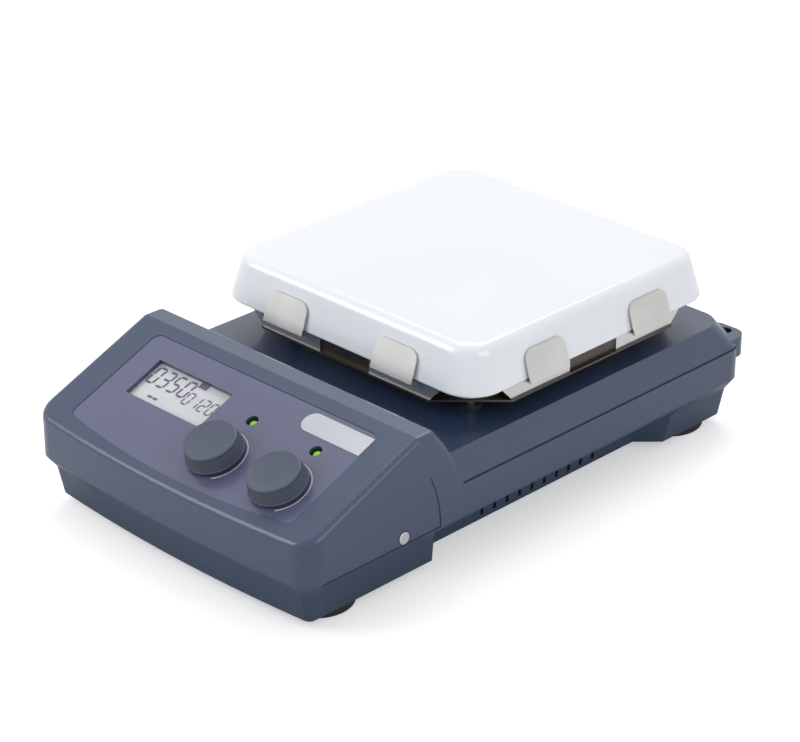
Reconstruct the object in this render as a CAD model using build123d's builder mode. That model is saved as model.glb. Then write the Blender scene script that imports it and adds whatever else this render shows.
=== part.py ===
from build123d import *
from math import cos, radians, sin, tan
import os

os.makedirs("parts", exist_ok=True)

# All sizes in millimetres. X to the right, Y to the rear, Z up from the table.
# The origin lies on the table, midway between the front of the bow and the rod lug.

# Body, seen from above
body_width = 215.0
body_length = 350.0
lug_reach = 5.0
front_bow = 4.75
front_corner = 13.0
rear_corner = 12.5
skin = 3.0
seam_gap = 0.2

# Heights of the body, from the table up
foot_height = 5.4
step_height = 17.1
base_height = 24.6
wall_height = 19.5
deck_rise = 16.0
console_rise = 21.5

# Base tray
step_inset = 5.5
lean_inset = 8.8
waist_inset = 19.5
waist_lean = 1.8
waist_front_end = 101.5
waist_rear_end = 60.2
waist_ledge = 3.0
slot_count = 10
slot_pitch = 10.0
slot_width = 2.4
slot_shift = 1.85
slot_bottom = 2.4
slot_height = 14.5

# Deck and its side chamfer
deck_side = 7.5
deck_back = 10.5
deck_corner = 15.0
groove_height = 1.3
groove_depth = 1.0

# Console
panel_tilt = 22.17
panel_reach = 83.5
band_depth = 11.5
fall_depth = 21.0
fall_bulge = 2.6
band_round = 3.0
rim_round = 4.0
facet_apex = 8.0
facet_depth = 0.5

# Rod lug at the rear right corner
lug_width = 25.0
lug_side_gap = 2.7
lug_top = 4.4
lug_thickness = 12.3
lug_round = 8.0
lug_floor = 3.0
rod_radius = 4.0
rod_side = 14.3
rod_back = 1.6
rod_boss_radius = 7.5

# Console membrane, its window and what is set in it
membrane_side = 21.0
membrane_top = 8.0
membrane_side_end = 76.5
membrane_bow = 7.5
membrane_round = 5.0
membrane_recess = 0.8
membrane_thickness = 0.5
membrane_gap = 0.2
window_left_share = 0.8023
window_width_share = 0.6821
window_top = 22.5
window_height = 27.0
window_thickness = 1.2
window_gap = 0.15
display_depth = 3.6
display_border = 3.5
lens_radius = 2.6
lens_hole_radius = 3.5
lens_depth = 2.2
lens_v = 32.0
badge_width = 46.0
badge_height = 13.0
badge_top = 11.2
badge_thickness = 0.5
badge_right_gap = 0.4

# Knobs and encoders
knob_v = 59.5
stir_share = 0.7168
heat_share = 0.1618
knob_radius = 16.5
knob_taper = 12.4
knob_bottom = 1.5
knob_height = 9.4
knob_edge = 0.9
knob_cavity_radius = 8.5
knob_cavity_depth = 4.0
knob_cap = 2.2
shaft_radius = 3.0
shaft_clearance = 0.06
bushing_radius = 3.5
bushing_top = 3.2
nut_radius = 6.0
nut_height = 2.1
nut_hole_radius = 7.5
encoder_size = 13.0
encoder_depth = 8.0
encoder_floor = 1.2
plunger_radius = 2.6
plunger_height = 1.0
push_travel = 0.8
push_room = 0.15

# Display board
board_thickness = 1.6
display_board_side = 6.5
display_board_height = 66.0
display_board_v = 44.0
display_boss_inset = 5.0
display_boss_radius = 3.0
display_screw_radius = 1.2
screw_end_gap = 0.5
display_screw_head = 2.4
display_screw_cap = 1.4
display_screw_length = 7.0

# Heating plate
plate_front_gap = 14.6
plate_rear_gap = 20.6
flare_inset = 6.3
rim_corner = 20.0
top_corner = 17.5
plate_height = 26.45
plate_gap = 20.25
cover_wall = 4.5
cover_top = 5.0
cover_edge = 7.0
cover_lip = 1.2
heater_inset = 12.4
heater_corner = 12.0
heater_thickness = 6.0
element_share = 0.7586
element_tube = 3.2
terminal_length = 30.0
sensor_radius = 4.0
sensor_height = 4.0
insulation_inset = 15.4
insulation_wall = 8.0
insulation_corner = 14.0
element_gap = 0.15
element_opening = 22.0
element_bend = 5.0
terminal_clearance = 1.0
stack_gap = 0.2

# Pan and clips under the plate
pan_inset = 5.0
pan_rise = 9.45
pan_sheet = 1.2
pan_low_share = 0.6886
pan_high_share = 0.7733
pan_hem = 1.0
hub_hole_gap = 6.0
clip_middle_share = 0.4449
clip_width_share = 0.3284
clip_foot_share = 0.2013
clip_sheet = 1.1
clip_shelf_gap = 0.25
clip_stand_off = 1.9
clip_top_gap = 0.3
clip_height = 16.3
clip_round = 6.0

# Posts
post_share = 0.6942
post_radius = 3.7
post_neck_radius = 3.2
post_head_radius = 2.4
post_tail_radius = 2.9
post_tail_clearance = 0.1
post_head_length = 3.0
collar_radius = 7.1
collar_height = 2.0
post_nut_radius = 5.5
post_nut_height = 3.2
post_clearance = 0.3

# Motor and magnet drive
motor_radius = 30.0
motor_height = 28.0
motor_wall = 2.5
motor_plate_half = 46.0
motor_plate_thickness = 3.0
motor_plate_height = 18.0
standoff_spread = 38.0
standoff_radius = 4.5
spindle_radius = 4.0
bearing_radius = 9.0
bearing_width = 6.0
rotor_radius = 14.0
rotor_height = 12.6
air_gap = 0.6
stator_slots = 6
stator_slot_width = 5.0
stator_slot_depth = 8.0
deck_hub_hole = 12.0
yoke_clearance = 9.0
yoke_width = 27.0
yoke_thickness = 4.0
yoke_lift = 3.0
hub_radius = 9.0
hub_height = 8.0
magnet_margin = 4.0
magnet_radius = 11.0
magnet_height = 11.0

# Main board and what stands on it
main_board_side = 32.5
main_board_depth = 74.0
main_board_y = 68.0
main_board_lift = 8.0
board_post_radius = 3.0
board_post_gap = 3.5
board_post_inset = 10.0
capacitor_radius = 8.0
capacitor_height = 22.0
capacitor_pitch = 20.0
relay_length = 20.0
relay_width = 16.0
relay_height = 15.0
sink_share = 0.3333
sink_width = 26.0
sink_height = 20.0
sink_base = 4.0
sink_fins = 6
sink_fin = 1.6
transformer_length = 50.0
transformer_width = 34.0
transformer_height = 32.0
coil_length = 26.0
coil_overhang = 2.0
transformer_side = 18.0

# Rear panel and its fittings
rear_panel_width = 140.0
rear_panel_low = 4.1
rear_panel_height = 37.0
rear_panel_depth = 10.5
rear_panel_sheet = 2.0
rear_ledge = 8.0
rear_ledge_low = 4.0
rear_frame = 5.0
panel_screw_length = 6.0
panel_screw_cap = 1.6
panel_screw_radius = 1.3
panel_screw_head = 2.6
panel_screw_inset = 4.0
inlet_x = -34.0
inlet_width = 48.0
inlet_height = 27.0
inlet_depth = 24.0
inlet_flange = 3.5
inlet_flange_thickness = 2.5
socket_width = 25.0
socket_height = 17.5
socket_depth = 17.0
socket_x = -9.0
pin_pitch = 7.0
pin_width = 2.0
pin_height = 4.0
pin_length = 14.0
pin_rise = 2.0
drawer_x = 13.5
drawer_width = 12.0
drawer_height = 20.0
drawer_depth = 18.0
drawer_gap = 0.3
drawer_lip = 1.0
fuse_radius = 2.5
fuse_length = 14.0
switch_x = 11.0
switch_width = 20.0
switch_height = 14.0
switch_depth = 16.0
switch_wall = 1.3
switch_bezel = 1.6
switch_rim = 1.5
rocker_sink = 1.5
rocker_gap = 1.0
rocker_side_gap = 0.35
rocker_angle = 10.0
rocker_rise = 3.4
rocker_dip = 2.3
rocker_foot = 4.0
rocker_pin = 1.0
serial_x = 42.0
serial_z = 9.5
serial_width = 30.0
serial_height = 12.4
serial_sheet = 1.2
serial_shell_width = 17.0
serial_shell_height = 8.6
serial_reach = 5.5
serial_depth = 9.0
probe_x = 42.0
probe_z = -7.5
probe_radius = 6.5
probe_collar = 8.0
probe_reach = 4.0
probe_depth = 12.0

# Feet and fasteners
foot_radius = 20.5
foot_side = 30.0
front_foot = 38.5
rear_foot = 31.0
foot_round = 1.8
foot_recess_radius = 7.0
foot_recess_depth = 2.6
screw_radius = 2.0
screw_head_radius = 4.0
screw_head_height = 2.4
screw_clearance = 0.15
thread_gap = 0.05
foot_boss_radius = 6.0
foot_boss_height = 7.0
case_boss_radius = 5.0
case_boss_front = 82.0
case_boss_rear = 57.0
case_boss_side = 22.0
case_boss_waist = 31.0
case_boss_middle = 32.0
case_screw_bite = 9.0
case_screw_sink = 4.0
side_screw_y = 72.5
side_screw_z = 4.0
side_screw_radius = 3.5
side_screw_sink = 1.6
side_screw_cap = 1.7
side_tab_width = 14.0
side_tab_height = 10.0
side_tab_thickness = 4.0

# Planes and heights that follow from the sizes above
half_width = body_width / 2
front_y = -(body_length + lug_reach) / 2
rear_y = front_y + body_length
lug_y = rear_y + lug_reach
base_z = foot_height
step_z = base_z + step_height
seam_z = base_z + base_height
groove_z = seam_z + wall_height
deck_z = groove_z + deck_rise
console_z = deck_z + console_rise
floor_z = base_z + skin
roof_z = deck_z - skin
band_front_y = front_y + panel_reach
band_rear_y = band_front_y + band_depth
console_rear_y = band_rear_y + fall_depth
rim_half = (rear_y - plate_rear_gap - console_rear_y - plate_front_gap) / 2
top_half = rim_half - flare_inset
heater_half = rim_half - heater_inset
element_radius = heater_half * element_share
insulation_half = rim_half - insulation_inset
insulation_hole = element_radius - insulation_wall
pan_half = rim_half - pan_inset
pan_wall_low = pan_half * pan_low_share
pan_wall_high = pan_half * pan_high_share
clip_centre = pan_half * clip_middle_share
clip_width = pan_half * clip_width_share
clip_foot_inner = pan_half * clip_foot_share
post_spread = rim_half * post_share
yoke_length = 2 * (insulation_hole - yoke_clearance)
magnet_spread = yoke_length / 2 - magnet_radius - magnet_margin
plate_y = rear_y - plate_rear_gap - rim_half
rim_z = deck_z + plate_gap
cover_z = rim_z + plate_height
heater_top_z = cover_z - cover_top
heater_z = heater_top_z - heater_thickness
pan_z = deck_z + pan_rise
pan_floor_z = pan_z + pan_sheet
panel = Plane(
    origin=(0, band_front_y, console_z),
    x_dir=(1, 0, 0),
    z_dir=(0, -sin(radians(panel_tilt)), cos(radians(panel_tilt))),
)
display_board_h = -display_depth - encoder_depth
membrane_half_width = half_width - membrane_side
window_left = membrane_half_width * window_left_share
window_width = membrane_half_width * window_width_share
stir_u = membrane_half_width * stir_share
heat_u = membrane_half_width * heat_share
display_board_width = 2 * (membrane_half_width - display_board_side)
main_board_width = body_width - 2 * main_board_side
foot_x = half_width - foot_side
rear_face_y = rear_y - rear_panel_depth
rear_low_z = base_z + rear_panel_low
rear_high_z = rear_low_z + rear_panel_height
rear_mid_z = (rear_low_z + rear_high_z) / 2


def save(piece, name):
    """Labels one piece and writes its file."""
    piece.label = name
    export_step(piece, f"parts/{name}.step")


def outline(height, inset=0.0):
    """Plan of the body at one height: a bowed front, straight sides and rounded corners."""
    half = half_width - inset
    front = front_y + inset
    rear = rear_y - inset
    with BuildSketch(Plane.XY.offset(height)) as plan:
        with BuildLine():
            ThreePointArc((-half, front + front_bow), (0, front), (half, front + front_bow))
            Polyline((half, front + front_bow), (half, rear), (-half, rear), (-half, front + front_bow))
        make_face()
        fillet(plan.vertices().group_by(Axis.Y)[0], max(front_corner - inset, skin))
        fillet(plan.vertices().group_by(Axis.Y)[-1], max(rear_corner - inset, skin))
    return plan.sketch


def block(plane, width, depth, amount):
    """A plain box raised from a rectangle centred on a plane."""
    with BuildPart() as solid:
        with BuildSketch(plane):
            Rectangle(width, depth)
        extrude(amount=amount)
    return solid.part


def disc(plane, radius, amount):
    """A plain cylinder raised from a circle centred on a plane."""
    with BuildPart() as solid:
        with BuildSketch(plane):
            Circle(radius)
        extrude(amount=amount)
    return solid.part


def at(x, y, z):
    """The level plane through a point."""
    return Plane(origin=(x, y, z), x_dir=(1, 0, 0), z_dir=(0, 0, 1))


def on_panel(u, v, h):
    """The plane parallel to the console's panel, u across, v down the slope and h above it."""
    return Plane(origin=panel.from_local_coords((u, -v, h)), x_dir=(1, 0, 0), z_dir=panel.z_dir)


def on_rear(x, z, out=0.0):
    """The plane parallel to the rear panel, out from its outer face."""
    return Plane(origin=(x, rear_face_y + out, rear_mid_z + z), x_dir=(-1, 0, 0), z_dir=(0, 1, 0))


# Upper housing


def deck_plan(height, side, back, corner):
    """Plan of the deck at one height, rounded at its two rear corners."""
    half = half_width - side
    with BuildSketch(Plane.XY.offset(height)) as plan:
        with BuildLine():
            Polyline(
                (-half, band_rear_y), (half, band_rear_y), (half, rear_y - back),
                (-half, rear_y - back), close=True
            )
        make_face()
        fillet(plan.vertices().group_by(Axis.Y)[-1], corner)
    return plan.sketch


def console_side(inset):
    """Side view of the console: front wall, tilted panel, level band and the curved fall to the deck."""
    front_top_z = console_z - panel_reach * tan(radians(panel_tilt))
    middle_y = (band_rear_y + console_rear_y) / 2 + fall_bulge
    middle_z = (console_z + groove_z) / 2 + fall_bulge * fall_depth / (console_z - groove_z)
    with BuildSketch(Plane.YZ.offset(inset - half_width)) as side:
        with BuildLine():
            Polyline(
                (console_rear_y, groove_z), (console_rear_y, seam_z), (front_y, seam_z),
                (front_y, front_top_z),
                (band_front_y, console_z), (band_rear_y, console_z),
            )
            ThreePointArc((band_rear_y, console_z), (middle_y, middle_z), (console_rear_y, groove_z))
        make_face()
        band_edge = side.vertices().group_by(Axis.Y)[-1].sort_by(Axis.X)[-1]
        fillet(band_edge, band_round)
        if inset > 0:
            offset(amount=-inset)
    return side.sketch


def housing_mass(inset):
    """The housing's outer volume moved inward by one inset, open to the seam."""
    with BuildPart() as mass:
        extrude(to_extrude=console_side(inset), amount=body_width - 2 * inset)
        extrude(to_extrude=outline(seam_z, inset), amount=console_z - seam_z, mode=Mode.INTERSECT)
        if inset == 0:
            rim = mass.edges().filter_by(Axis.X, reverse=True).filter_by(Axis.Z, reverse=True)
            fillet(rim.filter_by(lambda edge: edge.center().Z > groove_z + 1), rim_round)
        extrude(to_extrude=outline(seam_z, inset), amount=wall_height)
        lean = (deck_rise - inset) / deck_rise
        top_side = deck_side * lean + inset
        top_back = deck_back * lean + inset
        loft(
            sections=[
                deck_plan(groove_z, inset, inset, rear_corner - inset),
                deck_plan(deck_z - inset, top_side, top_back, deck_corner - inset),
            ]
        )
    return mass.part


lug_right = half_width - lug_side_gap
rod_x = half_width - rod_side
rod_y = rear_y - rod_back
lug_top_z = groove_z + lug_top
lug_low_z = lug_top_z - lug_thickness
case_bosses = [
    (side * x, y)
    for side in (-1, 1)
    for x, y in (
        (half_width - case_boss_side, front_y + case_boss_front),
        (half_width - case_boss_waist, plate_y - case_boss_middle),
        (half_width - case_boss_side, rear_y - case_boss_rear),
    )
]
post_spots = [(x * post_spread, plate_y + y * post_spread) for x in (-1, 1) for y in (-1, 1)]
display_bosses = [
    (
        x * (display_board_width / 2 - display_boss_inset),
        display_board_v + y * (display_board_height / 2 - display_boss_inset),
    )
    for x in (-1, 1)
    for y in (-1, 1)
]


def window_opening(clearance, h):
    """The display window's outline at a height over the panel."""
    with BuildSketch(panel.offset(h)) as opening:
        with Locations((-window_left + window_width / 2, -window_top - window_height / 2)):
            Rectangle(window_width - 2 * clearance, window_height - 2 * clearance)
    return opening.sketch


def membrane_outline(clearance, h):
    """The membrane's outline at a height over the panel: straight top and sides, bowed lower edge."""
    half = membrane_half_width - clearance
    with BuildSketch(panel.offset(h)) as sheet:
        with BuildLine():
            Polyline(
                (half, -membrane_side_end + clearance), (half, -membrane_top - clearance),
                (-half, -membrane_top - clearance), (-half, -membrane_side_end + clearance),
            )
            ThreePointArc(
                (-half, -membrane_side_end + clearance),
                (0, -membrane_side_end - membrane_bow + clearance),
                (half, -membrane_side_end + clearance),
            )
        make_face()
        fillet(sheet.vertices(), membrane_round)
    return sheet.sketch


def side_facet():
    """The shallow flat on the console's side wall, pointed at the top under the panel's rear end."""
    slope = tan(radians(panel_tilt))
    apex_y = band_front_y + facet_apex
    apex_z = console_z - (console_z - seam_z) * 0.43
    low_z = seam_z
    with BuildPart() as facet:
        with BuildSketch(Plane.YZ.offset(half_width - facet_depth)):
            with BuildLine():
                Polyline(
                    (apex_y + facet_apex, low_z), (apex_y - (apex_z - low_z) / slope, low_z), (apex_y, apex_z)
                )
                ThreePointArc(
                    (apex_y, apex_z),
                    (apex_y + facet_apex * 0.75, (apex_z + low_z) / 2),
                    (apex_y + facet_apex, low_z),
                )
            make_face()
        extrude(amount=skin)
        mirror(about=Plane.YZ)
    return facet.part


def housing_hollow():
    """The space inside the housing, around the lug's boss, the rear frame and the screw bosses."""
    frame_width = rear_panel_width + 2 * rear_frame
    frame_depth = 2 * rear_panel_depth
    with BuildPart() as hollow:
        add(housing_mass(skin))
        add(disc(at(rod_x, rod_y, lug_low_z), rod_boss_radius, console_z), mode=Mode.SUBTRACT)
        add(block(at(0, rear_face_y, seam_z), frame_width, frame_depth, wall_height), mode=Mode.SUBTRACT)
        for x, y in case_bosses:
            add(disc(at(x, y, seam_z + seam_gap), case_boss_radius, console_z), mode=Mode.SUBTRACT)
        for u, v in display_bosses:
            boss = disc(on_panel(u, v, display_board_h), display_boss_radius, -display_board_h)
            add(boss, mode=Mode.SUBTRACT)
    return hollow.part


panel_screw_spots = [
    (x * (rear_panel_width / 2 - panel_screw_inset), z * (rear_panel_height / 2 - panel_screw_inset))
    for x in (-1, 1)
    for z in (-1, 1)
]


def side_screw_plane(side, depth):
    """The upright plane at one side screw, at a depth inside the side wall and facing outward."""
    origin = (side * (half_width - depth), front_y + side_screw_y, seam_z + side_screw_z)
    return Plane(origin=origin, x_dir=(0, 1, 0), z_dir=(side, 0, 0))


def side_screw_holes():
    """Round seats in both side walls with the holes for the side screws."""
    with BuildPart() as holes:
        for side in (-1, 1):
            seat = side_screw_plane(side, side_screw_sink)
            add(disc(seat, side_screw_radius + 2 * screw_clearance, skin))
            add(disc(seat, screw_radius + screw_clearance, -skin))
    return holes.part


def rear_pocket():
    """The pocket that takes the rear panel, the opening behind it and its screw holes."""
    open_width = rear_panel_width - 2 * rear_ledge
    open_height = rear_panel_height - 2 * rear_ledge_low
    with BuildPart() as pocket:
        add(
            block(
                on_rear(0, 0, -rear_panel_sheet), rear_panel_width + 2 * seam_gap,
                rear_panel_height + 2 * seam_gap, rear_panel_depth + rear_panel_sheet + 1,
            )
        )
        add(block(on_rear(0, 0, -2 * rear_panel_depth), open_width, open_height, 2 * rear_panel_depth))
        for x, z in panel_screw_spots:
            add(disc(on_rear(x, z, -panel_screw_length), panel_screw_radius, panel_screw_length))
    return pocket.part


with BuildPart() as top_housing:
    add(housing_mass(0))
    add(side_facet(), mode=Mode.SUBTRACT)
    # Rod lug beside the rear right corner
    with BuildSketch(Plane.XY.offset(lug_low_z)) as lug_plan:
        with Locations((lug_right - lug_width / 2, lug_y - rear_corner - lug_reach)):
            Rectangle(lug_width, 2 * (rear_corner + lug_reach))
        fillet(lug_plan.vertices().group_by(Axis.Y)[-1], lug_round)
    extrude(amount=lug_thickness)
    # Thin groove where the side wall meets the chamfer
    with BuildSketch(Plane.XY.offset(groove_z - groove_height / 2)):
        with Locations((0, (console_rear_y + lug_y) / 2)):
            Rectangle(body_width + 2, lug_y - console_rear_y)
        add(outline(0, groove_depth), mode=Mode.SUBTRACT)
        with Locations((lug_right - lug_width / 2, lug_y - rear_corner)):
            Rectangle(lug_width + 1, 2 * rear_corner + 1, mode=Mode.SUBTRACT)
    extrude(amount=groove_height, mode=Mode.SUBTRACT)
    add(housing_hollow(), mode=Mode.SUBTRACT)
    # Console openings: membrane recess, window, indicator holes and encoder bushings
    extrude(to_extrude=membrane_outline(0, 0), amount=-membrane_recess, mode=Mode.SUBTRACT)
    extrude(to_extrude=window_opening(0, 0), amount=-2 * skin, mode=Mode.SUBTRACT)
    for u in (stir_u, heat_u):
        add(disc(on_panel(u, knob_v, 0), bushing_radius + shaft_clearance, -2 * skin), mode=Mode.SUBTRACT)
        add(disc(on_panel(u, lens_v, 0), lens_hole_radius, -2 * skin), mode=Mode.SUBTRACT)
    for u, v in display_bosses:
        hole = disc(
            on_panel(u, v, display_board_h), display_screw_radius, display_screw_length - board_thickness
        )
        add(hole, mode=Mode.SUBTRACT)
    # Deck holes for the posts and the drive spindle
    for x, y in post_spots:
        add(disc(at(x, y, roof_z), post_tail_radius + post_tail_clearance, skin), mode=Mode.SUBTRACT)
    add(disc(at(0, plate_y, roof_z), deck_hub_hole, skin), mode=Mode.SUBTRACT)
    # Rod hole, case screw holes, side screw seats and the rear panel's pocket
    add(disc(at(rod_x, rod_y, lug_low_z + lug_floor), rod_radius, console_z), mode=Mode.SUBTRACT)
    for x, y in case_bosses:
        add(disc(at(x, y, seam_z), screw_radius, case_screw_bite + seam_gap), mode=Mode.SUBTRACT)
    add(side_screw_holes(), mode=Mode.SUBTRACT)
    add(rear_pocket(), mode=Mode.SUBTRACT)
save(top_housing.part, "top_housing")


# Base tray


def waist_plan(height, lean, inset):
    """Plan of one waist cut at one height: an inner wall with an end face at 45 degrees on each side."""
    inner = half_width - waist_inset - lean - inset
    rim = half_width - lean_inset
    outer = half_width + waist_inset
    front = front_y + waist_front_end + waist_lean - lean - inset * 2**0.5
    rear = rear_y - waist_rear_end - waist_lean + lean + inset * 2**0.5
    with BuildSketch(Plane.XY.offset(height)) as plan:
        with BuildLine():
            Polyline(
                (inner, front + rim - inner), (outer, front + rim - outer),
                (outer, rear - rim + outer), (inner, rear - rim + inner), close=True,
            )
        make_face()
    return plan.sketch


def tray_mass(inset, waist_top):
    """The tray's outer volume moved inward by one inset: a stepped rim, leaning walls and two waists."""
    with BuildPart() as mass:
        loft(sections=[outline(seam_z, inset), outline(step_z, step_inset + inset)])
        loft(sections=[outline(step_z, step_inset + inset), outline(base_z + inset, lean_inset + inset)])
        waist = loft(
            sections=[waist_plan(waist_top, 0, inset), waist_plan(base_z - skin, waist_lean, inset)],
            mode=Mode.PRIVATE,
        )
        add(waist, mode=Mode.SUBTRACT)
        add(mirror(waist, about=Plane.YZ, mode=Mode.PRIVATE), mode=Mode.SUBTRACT)
    return mass.part


foot_spots = [
    (side * foot_x, y) for side in (-1, 1) for y in (front_y + front_foot, rear_y - rear_foot)
]


def tray_hollow():
    """The space inside the tray, around the screw bosses, the rear frame and the side tabs."""
    frame_width = rear_panel_width + 2 * rear_frame
    tab_centre = half_width - skin - 2 * screw_clearance - side_tab_thickness / 2
    with BuildPart() as hollow:
        add(tray_mass(skin, seam_z))
        add(
            block(at(0, rear_face_y, base_z), frame_width, 2 * rear_panel_depth, base_height),
            mode=Mode.SUBTRACT,
        )
        for x, y in case_bosses:
            add(disc(at(x, y, base_z), case_boss_radius, base_height), mode=Mode.SUBTRACT)
        for x, y in foot_spots:
            add(disc(at(x, y, base_z), foot_boss_radius, skin + foot_boss_height), mode=Mode.SUBTRACT)
        for side in (-1, 1):
            foot_of_tab = at(side * tab_centre, front_y + side_screw_y, step_z)
            tab = block(foot_of_tab, side_tab_thickness, side_tab_width, seam_z - step_z)
            add(tab, mode=Mode.SUBTRACT)
    return hollow.part


with BuildPart() as base_tray:
    add(tray_mass(0, seam_z - waist_ledge))
    add(tray_hollow(), mode=Mode.SUBTRACT)
    # Upright tabs that take the side screws
    tab_x = half_width - skin - 2 * screw_clearance - side_tab_thickness / 2
    with BuildSketch(Plane.XY.offset(seam_z - skin)):
        with Locations((-tab_x, front_y + side_screw_y), (tab_x, front_y + side_screw_y)):
            Rectangle(side_tab_thickness, side_tab_width)
    extrude(amount=skin + side_tab_height)
    for side in (-1, 1):
        tab_hole = disc(side_screw_plane(side, skin), screw_radius, -2 * side_tab_thickness)
        add(tab_hole, mode=Mode.SUBTRACT)
    # Air slots through both waist walls
    waist_middle = (front_y + waist_front_end + rear_y - waist_rear_end) / 2
    for i in range(slot_count):
        slot_y = waist_middle + slot_shift + (i - (slot_count - 1) / 2) * slot_pitch
        slot = block(at(0, slot_y, base_z + slot_bottom), body_width, slot_width, slot_height)
        core = block(
            at(0, slot_y, base_z + slot_bottom), 2 * (half_width - waist_inset - 3 * skin),
            slot_width, slot_height
        )
        add(slot - core, mode=Mode.SUBTRACT)
    # Screw holes from below and the rear panel's pocket
    for x, y in case_bosses:
        add(disc(at(x, y, base_z), screw_radius + screw_clearance, base_height), mode=Mode.SUBTRACT)
        add(disc(at(x, y, base_z), screw_head_radius + screw_clearance, case_screw_sink), mode=Mode.SUBTRACT)
    for x, y in foot_spots:
        add(disc(at(x, y, base_z), screw_radius, skin + foot_boss_height - 1), mode=Mode.SUBTRACT)
    add(rear_pocket(), mode=Mode.SUBTRACT)
save(base_tray.part, "base_tray")

# Feet and case fasteners

def foot(x, y):
    """One round foot: rounded below, with a recess for its screw."""
    with BuildPart() as puck:
        add(disc(at(x, y, 0), foot_radius, foot_height))
        fillet(puck.edges().group_by(Axis.Z)[0], foot_round)
        add(disc(at(x, y, 0), foot_recess_radius, foot_recess_depth), mode=Mode.SUBTRACT)
        add(disc(at(x, y, 0), screw_radius + screw_clearance, foot_height), mode=Mode.SUBTRACT)
    return puck.part


with BuildPart() as rubber_feet:
    for x, y in foot_spots:
        add(foot(x, y))
save(rubber_feet.part, "rubber_feet")


def screw(plane, length, radius, head_radius, head_height):
    """A screw whose head stands on a plane and whose shank goes back through it."""
    with BuildPart() as fastener:
        add(disc(plane, head_radius, head_height))
        top_edge = fastener.edges().sort_by(lambda edge: plane.to_local_coords(edge.center()).Z)[-1]
        fillet(top_edge, head_height / 4)
        add(disc(plane, radius - thread_gap, -length))
    return fastener.part


def downward(x, y, z):
    """The level plane through a point that faces down."""
    return Plane(origin=(x, y, z), x_dir=(1, 0, 0), z_dir=(0, 0, -1))


def reversed_plane(plane):
    """The same plane facing the other way."""
    return Plane(origin=plane.origin, x_dir=plane.x_dir, z_dir=plane.z_dir * -1)


with BuildPart() as foot_screws:
    for x, y in foot_spots:
        length = base_z + skin + foot_boss_height - foot_recess_depth - 2
        add(screw(
            downward(x, y, foot_recess_depth), length, screw_radius, screw_head_radius, screw_head_height
        ))
save(foot_screws.part, "foot_screws")

with BuildPart() as case_screws:
    for x, y in case_bosses:
        head_z = base_z + case_screw_sink
        length = seam_z + case_screw_bite - head_z - 0.5
        add(screw(downward(x, y, head_z), length, screw_radius, screw_head_radius, screw_head_height))
save(case_screws.part, "case_screws")

with BuildPart() as side_screws:
    for side in (-1, 1):
        seat = side_screw_plane(side, side_screw_sink)
        add(screw(
            seat, skin + side_tab_thickness - side_screw_sink, screw_radius, side_screw_radius, side_screw_cap
        ))
save(side_screws.part, "side_screws")

# Console membrane, badge and display

with BuildPart() as membrane:
    extrude(to_extrude=membrane_outline(membrane_gap, -membrane_recess), amount=membrane_thickness)
    extrude(to_extrude=window_opening(0, 0), amount=-membrane_recess, mode=Mode.SUBTRACT)
    for u in (stir_u, heat_u):
        add(disc(on_panel(u, knob_v, 0), nut_hole_radius, -membrane_recess), mode=Mode.SUBTRACT)
        add(disc(on_panel(u, lens_v, 0), lens_hole_radius, -membrane_recess), mode=Mode.SUBTRACT)
save(membrane.part, "membrane")

with BuildPart() as badge_plate:
    badge_right = membrane_half_width - membrane_gap - badge_right_gap
    badge_middle = on_panel(
        badge_right - badge_width / 2, badge_top + badge_height / 2, membrane_thickness - membrane_recess
    )
    with BuildSketch(badge_middle) as badge_face:
        Rectangle(badge_width, badge_height)
        fillet(badge_face.vertices().group_by(Axis.X)[0], badge_height / 2 - 0.1)
        fillet(badge_face.vertices().group_by(Axis.X)[-1], badge_thickness)
    extrude(amount=badge_thickness)
save(badge_plate.part, "badge_plate")

with BuildPart() as display_window:
    extrude(to_extrude=window_opening(window_gap, -display_depth), amount=window_thickness)
save(display_window.part, "display_window")

window_u = -window_left + window_width / 2
window_v = window_top + window_height / 2
module_width = window_width + 2 * display_border
module_height = window_height + 2 * display_border
with BuildPart() as display_module:
    add(block(on_panel(window_u, window_v, display_board_h), module_width, module_height, encoder_depth))
save(display_module.part, "display_module")

with BuildPart() as display_board:
    board_face = on_panel(0, display_board_v, display_board_h)
    add(block(board_face, display_board_width, display_board_height, -board_thickness))
    for u, v in display_bosses:
        hole = disc(on_panel(u, v, display_board_h), display_screw_radius + screw_clearance, -board_thickness)
        add(hole, mode=Mode.SUBTRACT)
save(display_board.part, "display_board")

with BuildPart() as display_screws:
    for u, v in display_bosses:
        under = reversed_plane(on_panel(u, v, display_board_h - board_thickness))
        add(screw(
            under, display_screw_length - screw_end_gap, display_screw_radius, display_screw_head,
            display_screw_cap
        ))
save(display_screws.part, "display_screws")


def lens(u):
    """One indicator lens standing on the display board, with a rounded top edge."""
    with BuildPart() as lamp:
        add(disc(on_panel(u, lens_v, display_board_h), lens_radius, -lens_depth - display_board_h))
        fillet(lamp.edges().sort_by(Axis.Z)[-1], lens_radius / 2)
    return lamp.part


save(lens(stir_u), "stir_lens")
save(lens(heat_u), "heat_lens")

# Knobs and encoders

encoder_floor_h = display_board_h + encoder_floor
plunger_h = encoder_floor_h + push_room + push_travel
shaft_bottom_h = plunger_h + plunger_height + shaft_clearance
knob_top_h = knob_bottom + knob_height


def encoder(u):
    """The fixed part of one encoder: a box on the board with a threaded bushing, bored for the shaft."""
    with BuildPart() as body:
        add(block(on_panel(u, knob_v, display_board_h), encoder_size, encoder_size, encoder_depth))
        add(disc(on_panel(u, knob_v, -display_depth), bushing_radius, bushing_top + display_depth))
        bore = disc(
            on_panel(u, knob_v, encoder_floor_h), shaft_radius + shaft_clearance,
            encoder_depth + bushing_top + display_depth
        )
        add(bore, mode=Mode.SUBTRACT)
    return body.part


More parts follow.
